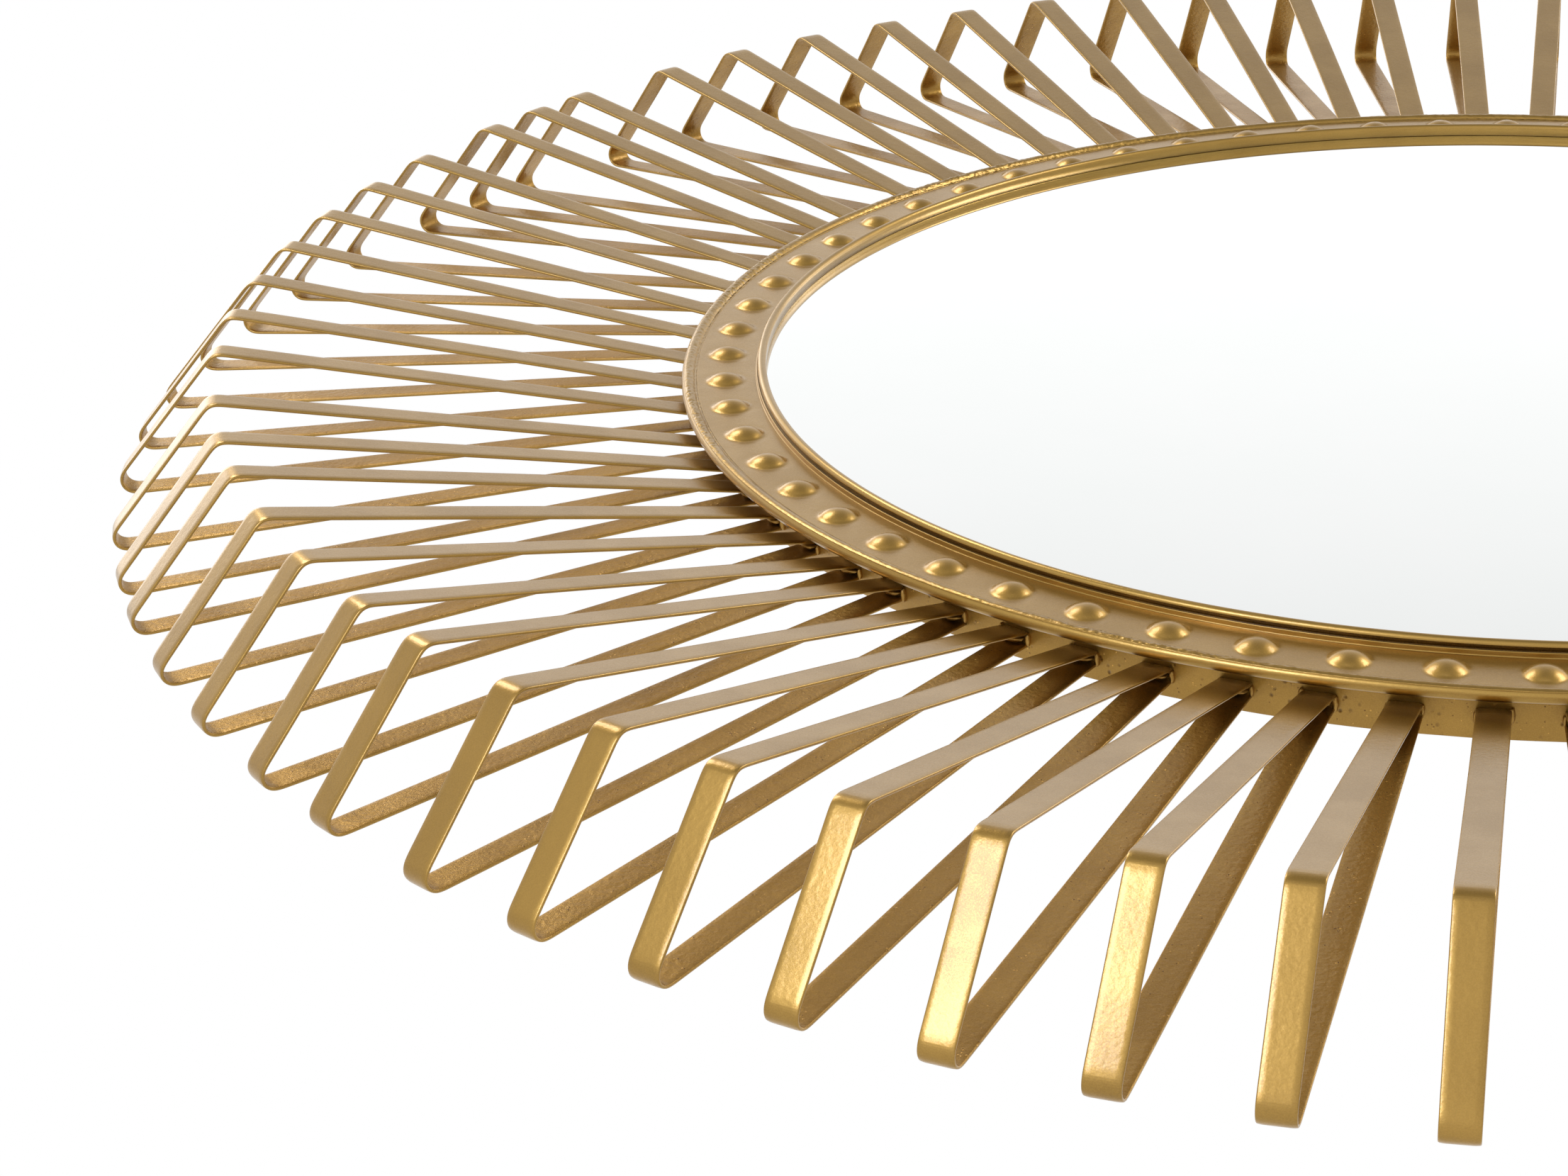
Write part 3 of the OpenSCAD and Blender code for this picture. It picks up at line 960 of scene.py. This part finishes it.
# The room's brightness at each angle in front of the mirror's plane, in degrees. At 90 it is straight ahead.
WORLD_LEVELS = (
    (-90, 0.95), (-15, 1.0), (-3, 0.88), (6, 0.95), (13, 1.09), (18, 1.07), (21, 0.99), (24, 0.89), (28, 0.83),
    (40, 0.66), (60, 0.40), (90, 0.36),
)
SIDE_PATCH = 2.0


def make_world():
    """White seen from the camera. For the light, its level depends on the angle in front of the mirror's plane, and
    there is a brighter patch on each side, high up."""
    world = bpy.data.worlds.new("studio")
    bpy.context.scene.world = world
    world.use_nodes = True
    tree = world.node_tree
    tree.nodes.clear()
    towards = add(tree, "SeparateXYZ", {"Vector": add(tree, "TexCoord").outputs["Generated"]})
    angle = maths(tree, "ARCSINE", maths(tree, "MULTIPLY", towards.outputs[1], -1.0))
    curve = add(tree, "ValToRGB", {"Fac": ranged(tree, angle, math.radians(-90), math.radians(90))})
    points = curve.color_ramp.elements
    while len(points) < len(WORLD_LEVELS):
        points.new(0.5)
    for point, (degrees, _) in zip(points, WORLD_LEVELS):
        point.position = (degrees + 90) / 180
    # a new position can change a point's place in the list, so the levels wait until all are set
    for point, (_, level) in zip(points, WORLD_LEVELS):
        point.color = (level / 2, level / 2, level / 2, 1)
    level = maths(tree, "MULTIPLY", curve.outputs[0], 2.0)
    aside = maths(tree, "ABSOLUTE", towards.outputs[0])
    patch = ranged(tree, aside, 0.34, 0.46)
    edges = ((aside, 0.86, 0.70), (towards.outputs[2], 0.3, 0.5), (angle, -0.20, -0.06), (angle, 0.34, 0.20))
    for value, dark, lit in edges:
        patch = maths(tree, "MULTIPLY", patch, ranged(tree, value, dark, lit))
    level = maths(tree, "ADD", level, maths(tree, "MULTIPLY", patch, SIDE_PATCH))
    seen = add(tree, "LightPath").outputs["Is Camera Ray"]
    shown = add(tree, "Mix", {"Factor": seen, "A": level, "B": 1.0}, data_type="FLOAT")
    background = add(tree, "Background", {"Color": (1, 1, 1, 1), "Strength": shown.outputs[0]})
    add(tree, "OutputWorld", {"Surface": background.outputs[0]})


def make_studio():
    """The room, the floor, a cool main light low on the left, and a soft light high on each side."""
    make_world()
    make_floor()
    softbox("key_light", (-0.46, -0.63, -0.62), 2.2, 0.66, 13.5, (0.86, 0.96, 1.35))
    softbox("left_light", (-0.60, -0.68, 0.40), 2.2, 0.8, 13)
    softbox("right_light", (0.60, -0.68, 0.40), 2.2, 0.8, 13)
    scene = bpy.context.scene
    scene.view_settings.view_transform = "Standard"
    scene.view_settings.look = "None"


# ---------------------------------------------------------------- making it all

# Each paint: its lighter and deeper tone, roughness, clear coat and depth of orange peel, then its specks and pits.
PAINTS = {
    "gold_paint": ((0.41, 0.238, 0.045, 1), (0.30, 0.170, 0.029, 1), 0.38, 0.65, 0.00005),
    # a lighter copy of the gold for the ring: painted light
    "gold_paint_ring_painted_light": ((0.44, 0.256, 0.049, 1), (0.34, 0.194, 0.034, 1), 0.38, 0.65, 0.00004),
    # the faces inside the loops: less coat and more peel, and a lighter tone that is painted light
    "gold_paint_inside": ((0.45, 0.260, 0.058, 1), (0.30, 0.165, 0.032, 1), 0.45, 0.30, 0.00016, 0.04),
    "gold_paint_rim": ((0.40, 0.24, 0.050, 1), (0.33, 0.19, 0.035, 1), 0.34, 0.50, 0.00003),
    "gold_paint_weld": ((0.42, 0.25, 0.052, 1), (0.30, 0.17, 0.032, 1), 0.34, 0.50, 0.00012),
    # painted shade for the lip's groove
    "gold_paint_groove_painted_shade": ((0.15, 0.08, 0.015, 1), (0.05, 0.025, 0.005, 1), 0.5, 0.25, 0.00008),
    # the band's pits are darkened with painted shade
    "gold_paint_band": ((0.42, 0.24, 0.048, 1), (0.32, 0.18, 0.034, 1), 0.45, 0.40, 0.00008, 0.04, 0.0003),
}


def main():
    gold, ring_gold_painted_light, inner_gold, rim_gold, weld_gold, groove_painted_shade, band_gold = (
        gold_paint(name, *values) for name, values in PAINTS.items()
    )
    make_camera()
    make_rays(gold, inner_gold)
    # the ring takes the gold's lighter copy, which is painted light
    make_face_ring(ring_gold_painted_light)
    make_lip(rim_gold, groove_painted_shade)
    make_rim(rim_gold)
    make_seam(weld_gold)
    make_band(band_gold)
    make_ray_welds(inner_gold)
    make_glass(silvered_glass(), glass_edge())
    make_board(fibreboard())
    make_tabs(inner_gold)
    zinc = zinc_plate()
    make_screws("board_screws", "tab_screws", zinc)
    make_screws("strap_screws", "hanger_screws", zinc)
    for side in ("left", "right"):
        make_strap(side, zinc)
        make_ring(side, zinc)
    make_studio()


main()
